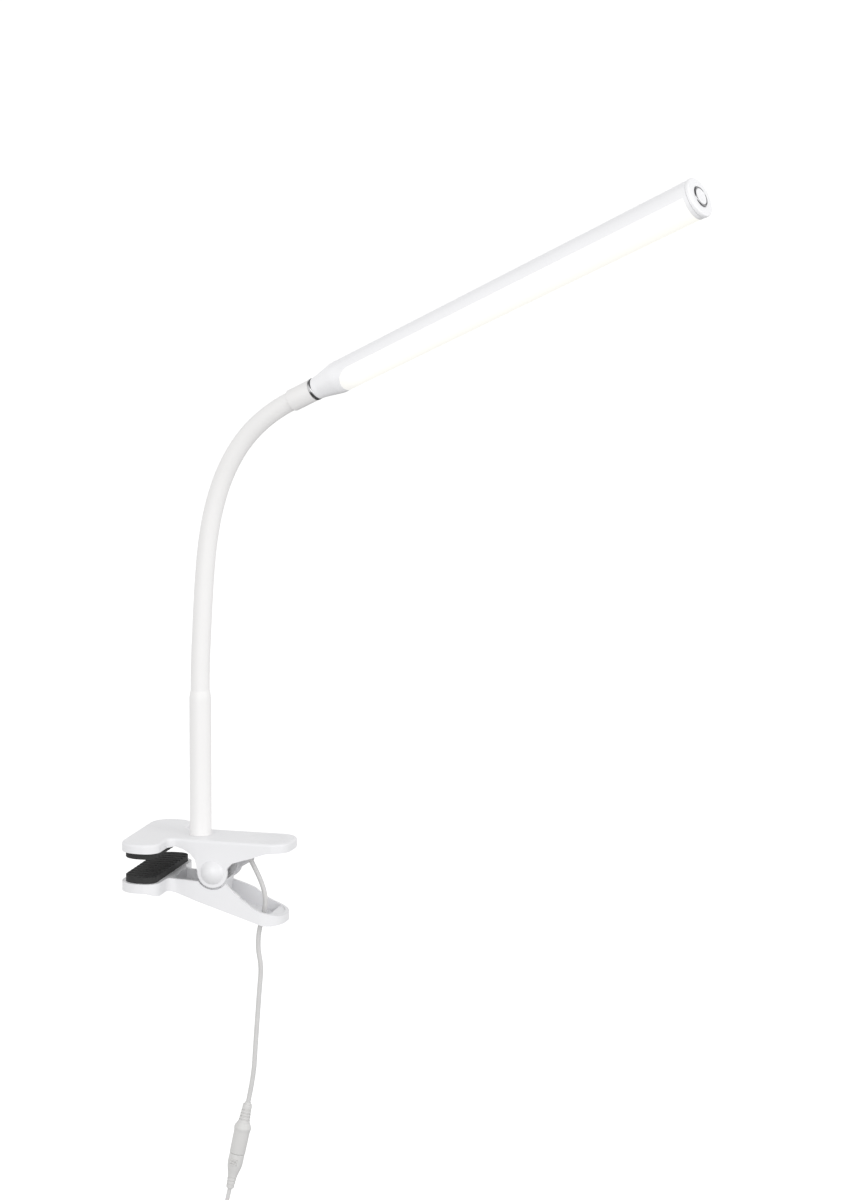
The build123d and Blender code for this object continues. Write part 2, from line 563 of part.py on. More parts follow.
def adapter_parts(plug_end, down):
    x, y, z = COIL_CENTRE
    outer = COIL_MIDDLE + COIL_STEP * (COIL_LAYERS - 1) / 2
    side = COIL_STEP * (COIL_LAYERS - 1) / 2
    entry = Vector(x + outer, y - side, z)
    top = [tuple(plug_end), tuple(plug_end + down * 9), (x + outer + 0.8, y - side + 1, z + 14),
           tuple(entry + Vector(0, 0, 3))]
    keep("adapter_lead_top", cord("adapter_lead_top", top, ADAPTER_LEAD))
    leave = Vector(x + outer, y + side, z)
    relief_top = ADAPTER_AT[2] + ADAPTER[2] / 2 + 9
    tail = [tuple(leave - Vector(0, 0, 3)), (x + outer + 0.3, y + side, z - 10),
            (ADAPTER_AT[0], ADAPTER_AT[1], relief_top + 8), (ADAPTER_AT[0], ADAPTER_AT[1], relief_top)]
    keep("adapter_lead_tail", cord("adapter_lead_tail", tail, ADAPTER_LEAD))

    half = side + ADAPTER_LEAD / 2
    big = outer + ADAPTER_LEAD / 2
    hole = COIL_MIDDLE - side - ADAPTER_LEAD / 2
    ring = disc_y(x, z, big, -half, half) - disc_y(x, z, hole, -half, half)
    keep("lead_coil", ring)
    band = Box(2 * half + 2.4, 4.0, big - hole + 2.4) - Box(2 * half + 0.5, 6, big - hole + 0.5)
    band = fillet(band.edges().filter_by(Axis.Y), 0.6)
    turned = Rot(0, 0, 90) * band
    keep("coil_tie", Pos(x, 0, z + (big + hole) / 2) * turned)

    width, deep, tall = ADAPTER
    case = RectangleRounded(width, deep, 5.0)
    shell = extrude(case, amount=tall / 2, both=True)
    shell = fillet(shell.edges().group_by(Axis.Z)[-1] + shell.edges().group_by(Axis.Z)[0], 2.5)
    inside = extrude(RectangleRounded(width - 4, deep - 4, 3.5), amount=tall / 2 - 2, both=True)
    shell -= inside
    relief_bore = Pos(0, 0, tall / 2) * Cylinder(3.0, 12)
    shell -= relief_bore
    back = shell & (Pos(0, 50, 0) * Box(100, 100, 100))
    front = shell & (Pos(0, -50, 0) * Box(100, 100, 100))
    pins = []
    for side_x in (-9.5, 9.5):
        bore = Pos(side_x, deep / 2, 4) * Rot(90, 0, 0) * Cylinder(2.4, 12)
        back -= bore
        pin = Pos(side_x, deep / 2 + 9.5, 4) * Rot(90, 0, 0) * Cylinder(MAINS_PIN_R, 19)
        pin = chamfer(pin.edges().sort_by(Axis.Y)[-1], 0.7)
        pin += Pos(side_x, deep / 2 - 2, 4) * Rot(90, 0, 0) * Cylinder(MAINS_PIN_R + 0.3, 4)
        pins.append(Pos(*ADAPTER_AT) * pin)
    keep("adapter_front", Pos(*ADAPTER_AT) * front)
    keep("adapter_back", Pos(*ADAPTER_AT) * back)
    keep("adapter_pins", Compound(children=pins))
    circuit = Pos(*ADAPTER_AT) * Pos(0, -1.5, -1) * Box(width - 6, 1.6, tall - 10)
    keep("adapter_board", circuit)
    relief = Pos(0, 0, tall / 2 + 3.5) * Cone(2.9, 1.9, 11)
    relief += Pos(0, 0, tall / 2 - 2.9) * Cylinder(4.2, 1.8)
    keep("adapter_relief", Pos(*ADAPTER_AT) * relief)


def main():
    os.makedirs("parts", exist_ok=True)
    clip_parts()
    tube_parts()
    place = neck_parts()
    head_parts(place)
    inner_lead()
    lead_relief()
    keep("lamp_lead", cord("lamp_lead", LAMP_ROUTE, LEAD))
    plug_end, down = plug_pair()
    adapter_parts(plug_end, down)
    for name, shape in PARTS.items():
        export_step(shape, f"parts/{name}.step")


main()
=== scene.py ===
import bmesh
import bpy
import json
import math
from mathutils import Matrix, Vector


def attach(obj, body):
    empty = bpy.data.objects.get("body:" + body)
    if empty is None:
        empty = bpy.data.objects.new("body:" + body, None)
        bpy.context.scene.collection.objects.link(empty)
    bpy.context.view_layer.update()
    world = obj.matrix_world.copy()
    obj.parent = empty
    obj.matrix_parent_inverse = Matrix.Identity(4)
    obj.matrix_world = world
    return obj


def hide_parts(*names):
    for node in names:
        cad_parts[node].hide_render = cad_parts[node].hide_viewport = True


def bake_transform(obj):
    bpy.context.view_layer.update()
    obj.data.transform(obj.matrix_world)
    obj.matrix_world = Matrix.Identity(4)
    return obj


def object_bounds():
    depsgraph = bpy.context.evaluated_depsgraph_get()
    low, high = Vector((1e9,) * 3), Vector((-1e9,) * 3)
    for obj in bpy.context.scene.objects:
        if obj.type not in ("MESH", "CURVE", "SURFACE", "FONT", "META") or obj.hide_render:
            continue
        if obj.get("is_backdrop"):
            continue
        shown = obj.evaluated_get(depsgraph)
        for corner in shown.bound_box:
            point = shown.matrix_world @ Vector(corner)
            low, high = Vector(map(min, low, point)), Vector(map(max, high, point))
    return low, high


# Looks of the clip-on reading lamp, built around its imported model.
# Sizes are in millimetres until a mesh is made, and metres in the scene.

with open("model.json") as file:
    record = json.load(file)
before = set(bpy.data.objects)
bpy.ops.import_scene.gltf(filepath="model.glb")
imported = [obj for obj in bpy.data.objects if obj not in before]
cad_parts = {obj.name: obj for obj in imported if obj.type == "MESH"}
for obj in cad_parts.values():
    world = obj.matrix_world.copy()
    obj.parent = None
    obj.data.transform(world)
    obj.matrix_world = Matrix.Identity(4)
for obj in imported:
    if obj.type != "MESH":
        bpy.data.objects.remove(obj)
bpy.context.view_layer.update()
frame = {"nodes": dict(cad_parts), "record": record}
nodes = frame["nodes"]
MM = 0.001


# ---------------------------------------------------------------- sizes the pieces share
# Heights of the tube are along the frame's Z, and angles are in degrees.
TUBE_X = 27.8
CLIP_TOP = 9.5
TUBE_TOP = 98.0
TUBE_R = 6.55
TUBE_BORE = 5.2
FOOT_TOP = 15.0
FOOT_R = 5.0
FOOT_BORE = 3.5
ARM_TURN = 14.0               # of the neck's plane, from straight along the clip
SECTION = 25.06
SECTION_TURNS = (3.0, 0.4, 1.8, 6.0, 9.6, 13.5, 16.2, 13.5)
SLEEVE_R = 5.7
SLEEVE_BORE = 4.75
LINK_R = 3.8

# Lengths along the head, from the end of the neck's sleeve.
FERRULE = 16.6
RING = 18.9
CONE_END = 37.2
HEAD_END = 287.0
CAP_FACE = 289.8
FERRULE_R = 6.6
HEAD_R_REAR = 9.6
HEAD_R_END = 11.55
SHELL_WALL = 1.7
WINDOW_FADE = (35.6, 51.6)    # the stretch over which the window reaches its full glow
BUTTON_R = 4.9
BUTTON_RING_R = 6.2
BUTTON_STEM_R = 3.6
BUTTON_SEAT = 1.2             # depth of the ring's seat in the cap's face

# The leads' diameters, in millimetres.
LEAD = 2.9
ADAPTER_LEAD = 2.5

# Lengths along the in-line socket and plug, from where the lamp's lead ends.
JACK_TILT = 12.1              # of both, from straight down
BOOT_END = 13.0
SHOULDER = 16.3
JACK_END = 33.1
PLUG_TAPER = 47.0
PLUG_END = 56.3
GRIP_R = 4.65
GRIP_BARS = 3
GRIP_START = 36.6
GRIP_PITCH = 1.6

LAMP_ROUTE = [
    (59.3, 0, -4.5), (63.0, 0, -11.3), (66.3, 0, -18.4), (68.7, 0, -26.5), (67.9, 0, -36),
    (64.4, 0, -47), (63.6, 0, -59), (65.9, 0, -70), (64.6, 0, -84), (63.4, 0, -101),
    (62.0, 0, -120), (60.84, 0, -139), (57.3, 0, -155.5),
]
COIL_CENTRE = Vector((22.8, 0.0, -246.0))
COIL_RADII = (17.325, 14.775, 12.225, 9.675)
COIL_STEP = 2.55
ADAPTER_TOP = Vector((42.0, 3.8, -277.0))


# ---------------------------------------------------------------- frames
def place_at(spot, across, sideways, along):
    """A frame at a place in millimetres, with its X, Y and Z directions."""
    turned_axes = Matrix((across, sideways, along)).transposed().to_4x4()
    return Matrix.Translation(Vector(spot) * MM) @ turned_axes


def level_frame(spot, along):
    """A frame at a place in millimetres, with Z along a direction and X level, towards the back."""
    return place_at(spot, BACKWARDS, along.cross(BACKWARDS), along)


def neck_frame(s, z, tilt):
    """Place on the neck's centre line: Z along it, X towards the side the head faces."""
    turn = math.radians(ARM_TURN)
    lean = math.radians(tilt)
    ahead = Vector((math.cos(turn), -math.sin(turn), 0))
    up = Vector((0, 0, 1))
    origin = Vector((TUBE_X, 0, 0)) + ahead * s + up * z
    forward = ahead * math.cos(lean) - up * math.sin(lean)
    along = ahead * math.sin(lean) + up * math.cos(lean)
    return place_at(origin, forward, along.cross(forward), along)


def neck_step(state, length, turn):
    """The (s, z, tilt) reached along an arc of that length and turn."""
    s, z, tilt = state
    middle = math.radians(tilt + turn / 2)
    half = math.radians(turn / 2) or 1e-9
    chord = length * math.sin(half) / half
    return s + chord * math.sin(middle), z + chord * math.cos(middle), tilt + turn


NECK_ENDS = [(0.0, TUBE_TOP, 0.0)]
for section_turn in SECTION_TURNS:
    NECK_ENDS.append(neck_step(NECK_ENDS[-1], SECTION, section_turn))
HEAD = neck_frame(*NECK_ENDS[-1])
TUBE = Matrix.Translation(Vector((TUBE_X, 0, 0)) * MM)

BACKWARDS = Vector((0, 1, 0))
jack_lean = math.radians(JACK_TILT)
DOWN = Vector((-math.sin(jack_lean), 0, -math.cos(jack_lean)))
PLUG = level_frame(LAMP_ROUTE[-1], DOWN)


# ---------------------------------------------------------------- shader groups
def group_shell(name, inputs, outputs):
    """An empty node group with named number inputs and named outputs."""
    group = bpy.data.node_groups.new(name, "ShaderNodeTree")
    for label, value in inputs:
        socket = group.interface.new_socket(label, in_out="INPUT", socket_type="NodeSocketFloat")
        socket.default_value = value
    for label in outputs:
        group.interface.new_socket(label, in_out="OUTPUT", socket_type="NodeSocketFloat")
    return group, group.nodes.new("NodeGroupInput"), group.nodes.new("NodeGroupOutput")


def add_node(tree, kind, **settings):
    """A new node with some of its settings."""
    node = tree.nodes.new(kind)
    for key, value in settings.items():
        setattr(node, key, value)
    return node


def moulded_surface():
    """Slow mottling of a moulded wall, the fine grain of its tool, and faint scuffs."""
    group, given, result = group_shell(
        "moulded_surface",
        [("Mottle Scale", 40.0), ("Grain Scale", 1800.0), ("Scuff Scale", 160.0), ("Scuffs", 0.2)],
        ["Mottle", "Grain", "Scuff Mask"])
    links = group.links
    where = add_node(group, "ShaderNodeTexCoord")
    mottle = add_node(group, "ShaderNodeTexNoise")
    mottle.inputs["Detail"].default_value = 3.0
    links.new(where.outputs["Object"], mottle.inputs["Vector"])
    links.new(given.outputs["Mottle Scale"], mottle.inputs["Scale"])
    links.new(mottle.outputs["Fac"], result.inputs["Mottle"])
    grain = add_node(group, "ShaderNodeTexNoise")
    grain.inputs["Detail"].default_value = 2.0
    grain.inputs["Roughness"].default_value = 0.6
    links.new(where.outputs["Object"], grain.inputs["Vector"])
    links.new(given.outputs["Grain Scale"], grain.inputs["Scale"])
    links.new(grain.outputs["Fac"], result.inputs["Grain"])
    streaks = add_node(group, "ShaderNodeMapping")
    streaks.inputs["Scale"].default_value = (1.0, 1.0, 0.18)
    streaks.inputs["Rotation"].default_value = (0.4, 0.7, 0.3)
    links.new(where.outputs["Object"], streaks.inputs["Vector"])
    scuff = add_node(group, "ShaderNodeTexNoise")
    scuff.inputs["Detail"].default_value = 6.0
    scuff.inputs["Roughness"].default_value = 0.75
    links.new(streaks.outputs["Vector"], scuff.inputs["Vector"])
    links.new(given.outputs["Scuff Scale"], scuff.inputs["Scale"])
    cut = add_node(group, "ShaderNodeMapRange", interpolation_type="SMOOTHSTEP")
    cut.inputs["From Min"].default_value = 0.58
    cut.inputs["From Max"].default_value = 0.78
    links.new(scuff.outputs["Fac"], cut.inputs["Value"])
    amount = add_node(group, "ShaderNodeMath", operation="MULTIPLY")
    links.new(cut.outputs["Result"], amount.inputs[0])
    links.new(given.outputs["Scuffs"], amount.inputs[1])
    links.new(amount.outputs["Value"], result.inputs["Scuff Mask"])
    return group


def drawn_metal():
    """Fine lines that the making leaves on a metal, running along one direction."""
    group, given, result = group_shell(
        "drawn_metal", [("Line Scale", 900.0), ("Stretch X", 1.0), ("Stretch Z", 0.04)],
        ["Lines", "Patches"])
    links = group.links
    where = add_node(group, "ShaderNodeTexCoord")
    stretch = add_node(group, "ShaderNodeCombineXYZ")
    stretch.inputs["Y"].default_value = 1.0
    links.new(given.outputs["Stretch X"], stretch.inputs["X"])
    links.new(given.outputs["Stretch Z"], stretch.inputs["Z"])
    scaled = add_node(group, "ShaderNodeVectorMath", operation="MULTIPLY")
    links.new(where.outputs["Object"], scaled.inputs[0])
    links.new(stretch.outputs["Vector"], scaled.inputs[1])
    line = add_node(group, "ShaderNodeTexNoise")
    line.inputs["Detail"].default_value = 2.0
    links.new(scaled.outputs["Vector"], line.inputs["Vector"])
    links.new(given.outputs["Line Scale"], line.inputs["Scale"])
    links.new(line.outputs["Fac"], result.inputs["Lines"])
    patch = add_node(group, "ShaderNodeTexNoise")
    patch.inputs["Scale"].default_value = 150.0
    links.new(where.outputs["Object"], patch.inputs["Vector"])
    links.new(patch.outputs["Fac"], result.inputs["Patches"])
    return group


MOULDED = moulded_surface()
DRAWN = drawn_metal()


# ---------------------------------------------------------------- materials
def blank_material(name):
    """A new material, its tree and its shader."""
    material = bpy.data.materials.new(name)
    material.use_nodes = True
    tree = material.node_tree
    return material, tree, tree.nodes["Principled BSDF"]


def between(tree, factor, low, high):
    """A value that runs from low to high as factor runs from 0.3 to 0.7."""
    spread = add_node(tree, "ShaderNodeMapRange")
    spread.inputs["From Min"].default_value = 0.3
    spread.inputs["From Max"].default_value = 0.7
    spread.inputs["To Min"].default_value = low
    spread.inputs["To Max"].default_value = high
    tree.links.new(factor, spread.inputs["Value"])
    return spread.outputs["Result"]


def two_tones(tree, factor, first, second):
    """A mix from the first colour to the second."""
    tones = add_node(tree, "ShaderNodeMix", data_type="RGBA")
    tones.inputs["A"].default_value = (*first, 1)
    tones.inputs["B"].default_value = (*second, 1)
    tree.links.new(factor, tones.inputs["Factor"])
    return tones


def bumped(tree, shader, height, strength, depth):
    """Feeds the shader's normal from a height, with a depth in millimetres."""
    bump = add_node(tree, "ShaderNodeBump")
    bump.inputs["Strength"].default_value = strength
    bump.inputs["Distance"].default_value = depth * MM
    tree.links.new(height, bump.inputs["Height"])
    tree.links.new(bump.outputs["Normal"], shader.inputs["Normal"])


def moulded(name, tone, shade, rough, grain=0.03, grain_scale=1800.0, mottle_scale=40.0,
            scuffs=0.2, soiled=(0.6, 0.6, 0.58), **sockets):
    """A moulded plastic or rubber: two close tones, uneven gloss, tool grain and faint scuffs."""
    material, tree, shader = blank_material(name)
    surface = add_node(tree, "ShaderNodeGroup", node_tree=MOULDED)
    surface.inputs["Mottle Scale"].default_value = mottle_scale
    surface.inputs["Grain Scale"].default_value = grain_scale
    surface.inputs["Scuffs"].default_value = scuffs
    base = two_tones(tree, between(tree, surface.outputs["Mottle"], 0, 1), tone, shade)
    marked = add_node(tree, "ShaderNodeMix", data_type="RGBA")
    tree.links.new(surface.outputs["Scuff Mask"], marked.inputs["Factor"])
    tree.links.new(base.outputs["Result"], marked.inputs["A"])
    marked.inputs["B"].default_value = (*soiled, 1)
    tree.links.new(marked.outputs["Result"], shader.inputs["Base Color"])
    gloss = between(tree, surface.outputs["Grain"], rough - 0.06, rough + 0.06)
    worn = add_node(tree, "ShaderNodeMath", operation="ADD")
    tree.links.new(gloss, worn.inputs[0])
    tree.links.new(surface.outputs["Scuff Mask"], worn.inputs[1])
    tree.links.new(worn.outputs["Value"], shader.inputs["Roughness"])
    bumped(tree, shader, surface.outputs["Grain"], 0.5, grain)
    for socket, value in sockets.items():
        shader.inputs[socket.replace("_", " ")].default_value = value
    return material


def metal(name, tone, shade, rough, line_scale=900.0, stretch=(1.0, 0.04)):
    """A bare or plated metal with drawn or turned lines and slightly uneven polish."""
    material, tree, shader = blank_material(name)
    lines = add_node(tree, "ShaderNodeGroup", node_tree=DRAWN)
    lines.inputs["Line Scale"].default_value = line_scale
    lines.inputs["Stretch X"].default_value = stretch[0]
    lines.inputs["Stretch Z"].default_value = stretch[1]
    base = two_tones(tree, between(tree, lines.outputs["Patches"], 0, 1), tone, shade)
    tree.links.new(base.outputs["Result"], shader.inputs["Base Color"])
    tree.links.new(between(tree, lines.outputs["Lines"], rough - 0.04, rough + 0.06),
                   shader.inputs["Roughness"])
    bumped(tree, shader, lines.outputs["Lines"], 0.3, 0.01)
    shader.inputs["Metallic"].default_value = 1.0
    return material


def glowing_window(name):
    """The frosted window, a little warmer and dimmer at its crown and over its rear end."""
    material, tree, shader = blank_material(name)
    along = Vector(HEAD.col[2][:3])
    where = add_node(tree, "ShaderNodeTexCoord")
    reach = add_node(tree, "ShaderNodeVectorMath", operation="DOT_PRODUCT")
    reach.inputs[1].default_value = along
    tree.links.new(where.outputs["Object"], reach.inputs[0])
    start = HEAD.translation.dot(along)
    fade = add_node(tree, "ShaderNodeMapRange", interpolation_type="SMOOTHSTEP")
    fade.inputs["From Min"].default_value = start + WINDOW_FADE[0] * MM
    fade.inputs["From Max"].default_value = start + WINDOW_FADE[1] * MM
    tree.links.new(reach.outputs["Value"], fade.inputs["Value"])
    surface = add_node(tree, "ShaderNodeGroup", node_tree=MOULDED)
    surface.inputs["Grain Scale"].default_value = 2600.0
    surface.inputs["Mottle Scale"].default_value = 25.0
    surface.inputs["Scuffs"].default_value = 0.0
    outward = Vector(HEAD.col[0][:3])
    depth = add_node(tree, "ShaderNodeVectorMath", operation="DOT_PRODUCT")
    depth.inputs[1].default_value = outward
    tree.links.new(where.outputs["Object"], depth.inputs[0])
    crown = add_node(tree, "ShaderNodeMapRange", interpolation_type="SMOOTHSTEP")
    crown.inputs["From Min"].default_value = HEAD.translation.dot(outward) + 3 * MM
    crown.inputs["From Max"].default_value = HEAD.translation.dot(outward) + HEAD_R_END * MM
    tree.links.new(depth.outputs["Value"], crown.inputs["Value"])
    white = two_tones(tree, crown.outputs["Result"], (1.0, 0.99, 0.95), (0.93, 0.92, 0.86))
    glow = add_node(tree, "ShaderNodeMix", data_type="RGBA")
    glow.inputs["A"].default_value = (0.84, 0.83, 0.80, 1)
    tree.links.new(fade.outputs["Result"], glow.inputs["Factor"])
    tree.links.new(white.outputs["Result"], glow.inputs["B"])
    tree.links.new(glow.outputs["Result"], shader.inputs["Emission Color"])
    frost = two_tones(tree, surface.outputs["Mottle"], (0.36, 0.36, 0.35), (0.33, 0.33, 0.32))
    tree.links.new(frost.outputs["Result"], shader.inputs["Base Color"])
    tree.links.new(between(tree, surface.outputs["Grain"], 0.3, 0.42), shader.inputs["Roughness"])
    bumped(tree, shader, surface.outputs["Grain"], 0.4, 0.02)
    shader.inputs["Emission Strength"].default_value = 0.80
    return material


def printed_board(name):
    """White solder mask with faint copper runs under it."""
    material, tree, shader = blank_material(name)
    where = add_node(tree, "ShaderNodeTexCoord")
    runs = add_node(tree, "ShaderNodeTexVoronoi", distance="CHEBYCHEV")
    runs.inputs["Scale"].default_value = 260.0
    tree.links.new(where.outputs["Object"], runs.inputs["Vector"])
    cut = add_node(tree, "ShaderNodeMapRange")
    cut.inputs["From Min"].default_value = 0.35
    cut.inputs["From Max"].default_value = 0.40
    tree.links.new(runs.outputs["Distance"], cut.inputs["Value"])
    tones = two_tones(tree, cut.outputs["Result"], (0.86, 0.87, 0.86), (0.72, 0.74, 0.70))
    tree.links.new(tones.outputs["Result"], shader.inputs["Base Color"])
    tree.links.new(between(tree, cut.outputs["Result"], 0.3, 0.36), shader.inputs["Roughness"])
    bumped(tree, shader, cut.outputs["Result"], 0.4, 0.03)
    return material


CLIP_WHITE = moulded("clip_white", (0.83, 0.83, 0.845), (0.815, 0.815, 0.83), 0.36,
                     grain=0.02, grain_scale=1500.0, scuffs=0.12, soiled=(0.74, 0.74, 0.74))
HEAD_WHITE = moulded("head_white", (0.91, 0.91, 0.925), (0.90, 0.90, 0.915), 0.3,
                     grain=0.008, grain_scale=2200.0, scuffs=0.08, soiled=(0.8, 0.8, 0.8))
TUBE_WHITE = moulded("tube_white", (0.86, 0.852, 0.848), (0.85, 0.842, 0.838), 0.38,
                     grain=0.015, grain_scale=1300.0, scuffs=0.08, soiled=(0.78, 0.77, 0.76))
NECK_WHITE = moulded("neck_silicone", (0.865, 0.857, 0.853), (0.853, 0.845, 0.84), 0.52,
                     grain=0.03, grain_scale=1000.0, mottle_scale=60.0, scuffs=0.10,
                     soiled=(0.80, 0.79, 0.78), Sheen_Weight=0.08, Sheen_Roughness=0.6)
CORD_WHITE = moulded("cord_white", (0.65, 0.645, 0.64), (0.62, 0.615, 0.61), 0.42,
                     grain=0.02, grain_scale=1600.0, mottle_scale=120.0, scuffs=0.12)
PLUG_WHITE = moulded("plug_white", (0.68, 0.675, 0.668), (0.655, 0.65, 0.64), 0.48,
                     grain=0.03, grain_scale=1200.0, mottle_scale=90.0, scuffs=0.15)
PAD_BLACK = moulded("pad_rubber", (0.018, 0.018, 0.018), (0.028, 0.028, 0.028), 0.7,
                    grain=0.06, grain_scale=900.0, scuffs=0.25, soiled=(0.09, 0.09, 0.09))
NYLON = moulded("nylon", (0.78, 0.77, 0.72), (0.74, 0.73, 0.68), 0.45, scuffs=0.1)
TIE_WHITE = moulded("tie_white", (0.84, 0.84, 0.84), (0.80, 0.80, 0.80), 0.4, scuffs=0.1)
SWITCH_BLACK = moulded("switch_black", (0.02, 0.02, 0.02), (0.03, 0.03, 0.03), 0.45)
PHOSPHOR = moulded("led", (0.9, 0.78, 0.35), (0.95, 0.85, 0.5), 0.3, scuffs=0.0,
                   Emission_Color=(1.0, 0.93, 0.75, 1.0), Emission_Strength=1.0)
CHROME = metal("chrome", (0.62, 0.62, 0.63), (0.56, 0.56, 0.57), 0.12, line_scale=1400.0)
DARK_CHROME = metal("dark_chrome", (0.40, 0.40, 0.41), (0.34, 0.34, 0.35), 0.14)
ZINC = metal("steel", (0.55, 0.55, 0.56), (0.46, 0.46, 0.48), 0.34)
SPRING_WIRE = metal("spring_steel", (0.40, 0.40, 0.41), (0.32, 0.32, 0.33), 0.3, line_scale=1500.0)
NICKEL = metal("contact_metal", (0.68, 0.66, 0.62), (0.60, 0.58, 0.54), 0.22)
ALUMINIUM = metal("aluminium", (0.78, 0.78, 0.79), (0.72, 0.72, 0.73), 0.35, stretch=(0.06, 1.0))
WINDOW = glowing_window("diffuser")
BOARD_WHITE = printed_board("circuit_board")
LOOK = {
    "clip_plastic": CLIP_WHITE, "pad_rubber": PAD_BLACK, "steel": ZINC, "spring_steel": SPRING_WIRE,
    "nylon": NYLON, "tube_paint": TUBE_WHITE, "neck_silicone": NECK_WHITE, "cord_white": CORD_WHITE,
    "plug_white": PLUG_WHITE, "contact_metal": NICKEL, "tie_white": TIE_WHITE,
    "circuit_board": BOARD_WHITE, "chrome": CHROME, "dark_chrome": DARK_CHROME,
    "head_white": HEAD_WHITE, "diffuser": WINDOW, "aluminium": ALUMINIUM, "led": PHOSPHOR,
    "switch_black": SWITCH_BLACK,
}
for subpart in frame["record"]["subparts"]:
    for material_slot in nodes[subpart["node"]].material_slots:
        material_slot.material = LOOK[subpart["material_slot"]]


# ---------------------------------------------------------------- piece makers
def settle(name, mesh, slot, body=None, stands_for=()):
    """A finished object from a bmesh, smooth except at its creases, on its body if it has one."""
    crease = math.radians(34.0)
    bmesh.ops.recalc_face_normals(mesh, faces=mesh.faces)
    for edge in mesh.edges:
        edge.smooth = len(edge.link_faces) == 2 and edge.calc_face_angle(0) < crease
    for face in mesh.faces:
        face.smooth = True
    data = bpy.data.meshes.new(name)
    mesh.to_mesh(data)
    mesh.free()
    data.materials.append(LOOK[slot])
    piece = bpy.data.objects.new(name, data)
    bpy.context.scene.collection.objects.link(piece)
    if body:
        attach(piece, body)
    if stands_for:
        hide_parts(*stands_for)
    return piece


def softened(corners, steps=5):
    """An outline of (height, radius, softness) corners, each eased by its own softness."""
    spots = []
    for k, (height, radius, soft) in enumerate(corners):
        here = Vector((height, radius))
        back = Vector(corners[k - 1][:2]) - here
        ahead = Vector(corners[(k + 1) % len(corners)][:2]) - here
        reach = min(soft, 0.48 * back.length, 0.48 * ahead.length)
        if reach <= 0:
            spots.append(here)
            continue
        start = here + back.normalized() * reach
        end = here + ahead.normalized() * reach
        for step in range(steps + 1):
            t = step / steps
            spots.append(start * (1 - t) ** 2 + here * (2 * t * (1 - t)) + end * t ** 2)
    return spots


def add_turned(mesh, corners, place, steps=96):
    """Turns an outline of (height, radius, softness) corners round the Z axis of place."""
    rings = []
    for height, radius in softened(corners):
        count = 1 if radius < 1e-6 else steps
        ring = []
        for k in range(count):
            angle = 2 * math.pi * k / steps
            spot = Vector((radius * math.cos(angle), radius * math.sin(angle), height))
            ring.append(mesh.verts.new(place @ (spot * MM)))
        rings.append(ring)
    for near, far in zip(rings, rings[1:] + rings[:1]):
        for k in range(steps):
            a, b = near[k % len(near)], near[(k + 1) % len(near)]
            c, d = far[(k + 1) % len(far)], far[k % len(far)]
            corners_used = list(dict.fromkeys((a, b, c, d)))
            if len(corners_used) > 2:
                mesh.faces.new(corners_used)


def turned(name, corners, place, slot, body, stands_for=(), steps=96):
    """A piece turned from one outline."""
    mesh = bmesh.new()
    add_turned(mesh, corners, place, steps)
    settle(name, mesh, slot, body, stands_for)


def eased_copy(name, node, slot, body, ease, crisp=lambda spot: False):
    """A moulded node's copy with its sharp edges rounded over by ease, except the crisp ones."""
    crease = math.radians(30.0)
    mesh = bmesh.new()
    mesh.from_mesh(nodes[node].data)
    bmesh.ops.remove_doubles(mesh, verts=mesh.verts, dist=2e-6)
    flat = math.radians(0.2)
    bmesh.ops.dissolve_limit(mesh, angle_limit=flat, verts=mesh.verts, edges=mesh.edges)
    sharp = [e for e in mesh.edges
             if len(e.link_faces) == 2 and e.calc_face_angle(0) > crease
             and not all(crisp(v.co) for v in e.verts)]
    bmesh.ops.bevel(mesh, geom=sharp, offset=ease * MM, offset_type="OFFSET", segments=3,
                    profile=0.5, affect="EDGES", clamp_overlap=True, harden_normals=False)
    piece = settle(name, mesh, slot, body, [node])
    weighted = piece.modifiers.new("weighted", "WEIGHTED_NORMAL")
    weighted.keep_sharp = True


def add_bar(mesh, place, size, centre, ease):
    """A small bar with eased edges, in the frame of place."""
    made = bmesh.ops.create_cube(mesh, size=1.0)
    for vert in made["verts"]:
        spot = Vector(c * s for c, s in zip(vert.co, size)) + Vector(centre)
        vert.co = place @ (spot * MM)
    edges = list({e for v in made["verts"] for e in v.link_edges})
    bmesh.ops.bevel(mesh, geom=edges, offset=ease * MM, segments=3, profile=0.5, affect="EDGES")


# ---------------------------------------------------------------- cords
def free_cord(name, points, diameter, slot):
    """A lead along one smooth spline, with the route's points as its control points."""
    curve = bpy.data.curves.new(name, "CURVE")
    curve.dimensions = "3D"
    curve.bevel_depth = diameter * MM / 2
    curve.bevel_resolution = 6
    curve.resolution_u = 8
    curve.use_fill_caps = True
    line = curve.splines.new("NURBS")
    line.points.add(len(points) - 1)
    for point, spot in zip(line.points, points):
        point.co = (*(Vector(spot) * MM), 1)
    line.order_u = 3
    line.use_endpoint_u = True
    curve.materials.append(LOOK[slot])
    cord = bpy.data.objects.new(name, curve)
    bpy.context.scene.collection.objects.link(cord)
    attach(cord, "clip")
    return cord


lamp_cord = free_cord("lamp_cord", LAMP_ROUTE, LEAD, "cord_white")
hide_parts("lamp_lead")

TURN_POINTS = 16
COLUMN = len(COIL_RADII)      # layers in a column, and columns in the coil
JOG = 4                       # points over which a turn steps to the next place in the winding


def winding_place(turn):
    """Radius and sideways place of one turn: in and out across the coil, column by column."""
    column, layer = divmod(min(turn, COLUMN * COLUMN - 1), COLUMN)
    if column % 2:
        layer = COLUMN - 1 - layer
    return COIL_RADII[layer], (column - (COLUMN - 1) / 2) * COIL_STEP


